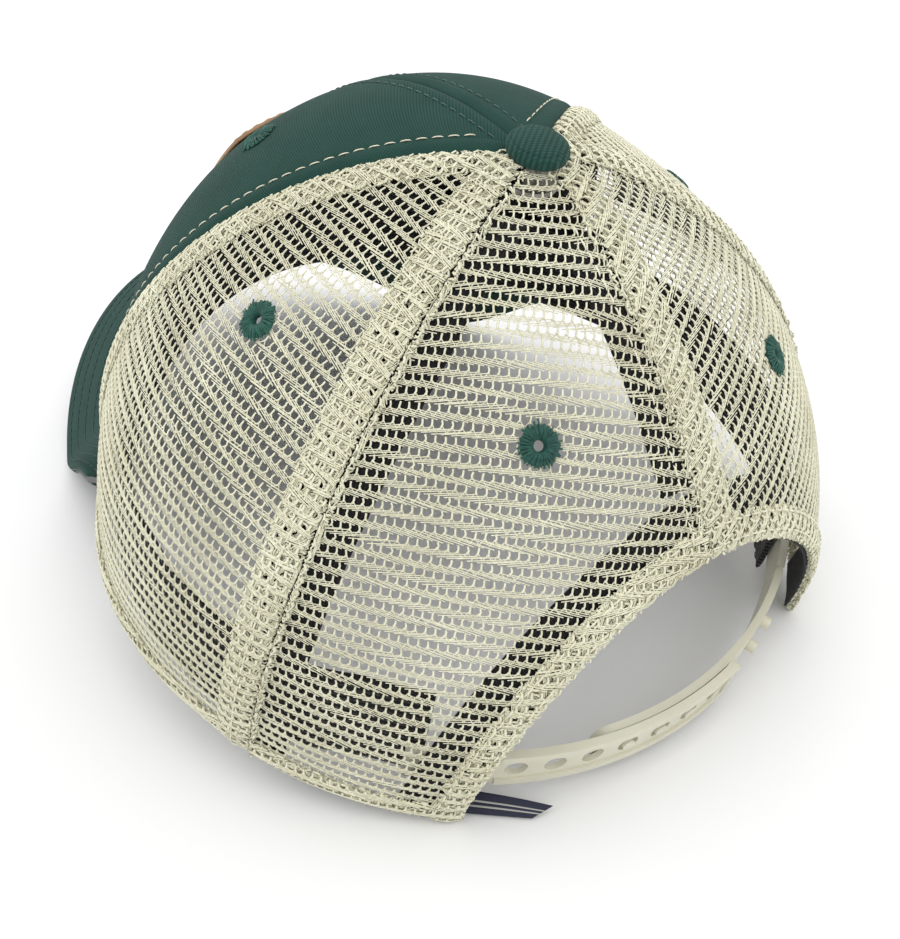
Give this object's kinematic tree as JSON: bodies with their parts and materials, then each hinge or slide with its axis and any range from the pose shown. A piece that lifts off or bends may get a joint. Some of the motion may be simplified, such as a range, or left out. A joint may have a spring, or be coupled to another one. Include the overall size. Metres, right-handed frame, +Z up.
{
  "type": "trucker mesh cap",
  "caption": "Trucker cap with twill front panels, open mesh sides and back, curved visor and a snap strap across the arched rear opening.",
  "frame": {"origin": "middle of the footprint of the empty cap as it lies on a table, at table height", "axes": "+Z up from the table, -Y towards the visor, +X towards the wearer's left"},
  "size_m": [0.1946, 0.252, 0.13],
  "materials": {
    "green_twill": "cotton twill, fine diagonal rib, matt",
    "cream_mesh": "polyester warp-knit net, slightly glossy yarn",
    "black_lining": "woven tape and buckram, matt",
    "black_sweatband": "brushed cotton twill band, matt",
    "tan_leather": "plain blank leather patch, no mark",
    "grey_board": "stiff plastic sheet inside the visor",
    "rivet_metal": "painted tin",
    "green_thread": "satin stitched embroidery thread",
    "cream_plastic": "flexible polyethylene, satin",
    "navy_label": "woven damask label, plain stripes"
  },
  "bodies": {
    "crown": {"arch_tape": "black_lining", "button": "green_twill", "button_rivet": "rivet_metal", "eyelet_front_left": "green_thread", "eyelet_front_right": "green_thread", "eyelet_rear_left": "green_thread", "eyelet_rear_right": "green_thread", "eyelet_side_left": "green_thread", "eyelet_side_right": "green_thread", "front_left_backing": "black_lining", "front_left_panel": "green_twill", "front_patch": "tan_leather", "front_right_backing": "black_lining", "front_right_panel": "green_twill", "hole_strap_tab": "cream_plastic", "peg_strap_tab": "cream_plastic", "rear_left_mesh": "cream_mesh", "rear_right_mesh": "cream_mesh", "side_left_mesh": "cream_mesh", "side_right_mesh": "cream_mesh", "sweatband": "black_sweatband", "tape_front": "black_lining", "tape_front_left": "black_lining", "tape_front_right": "black_lining", "tape_rear": "black_lining", "tape_rear_left": "black_lining", "tape_rear_right": "black_lining", "visor_board": "grey_board", "visor_bottom_cover": "green_twill", "visor_top_cover": "green_twill", "woven_label": "navy_label"},
    "hole_strap": {"hole_strap": "cream_plastic"},
    "peg_strap": {"peg_strap": "cream_plastic"}
  },
  "joints": [
    {"name": "hole_strap_swing", "type": "hinge", "parent": "crown", "child": "hole_strap", "pos_m": [0.04973, 0.10966, 0.01297], "axis": [0, -0.2317, -0.9728], "range_deg": [0, 50], "stiffness_Nm_per_rad": 0.02},
    {"name": "peg_strap_swing", "type": "hinge", "parent": "crown", "child": "peg_strap", "pos_m": [-0.0487, 0.108, 0.01336], "axis": [0, -0.2317, -0.9728], "range_deg": [0, 35], "stiffness_Nm_per_rad": 0.02}
  ]
}
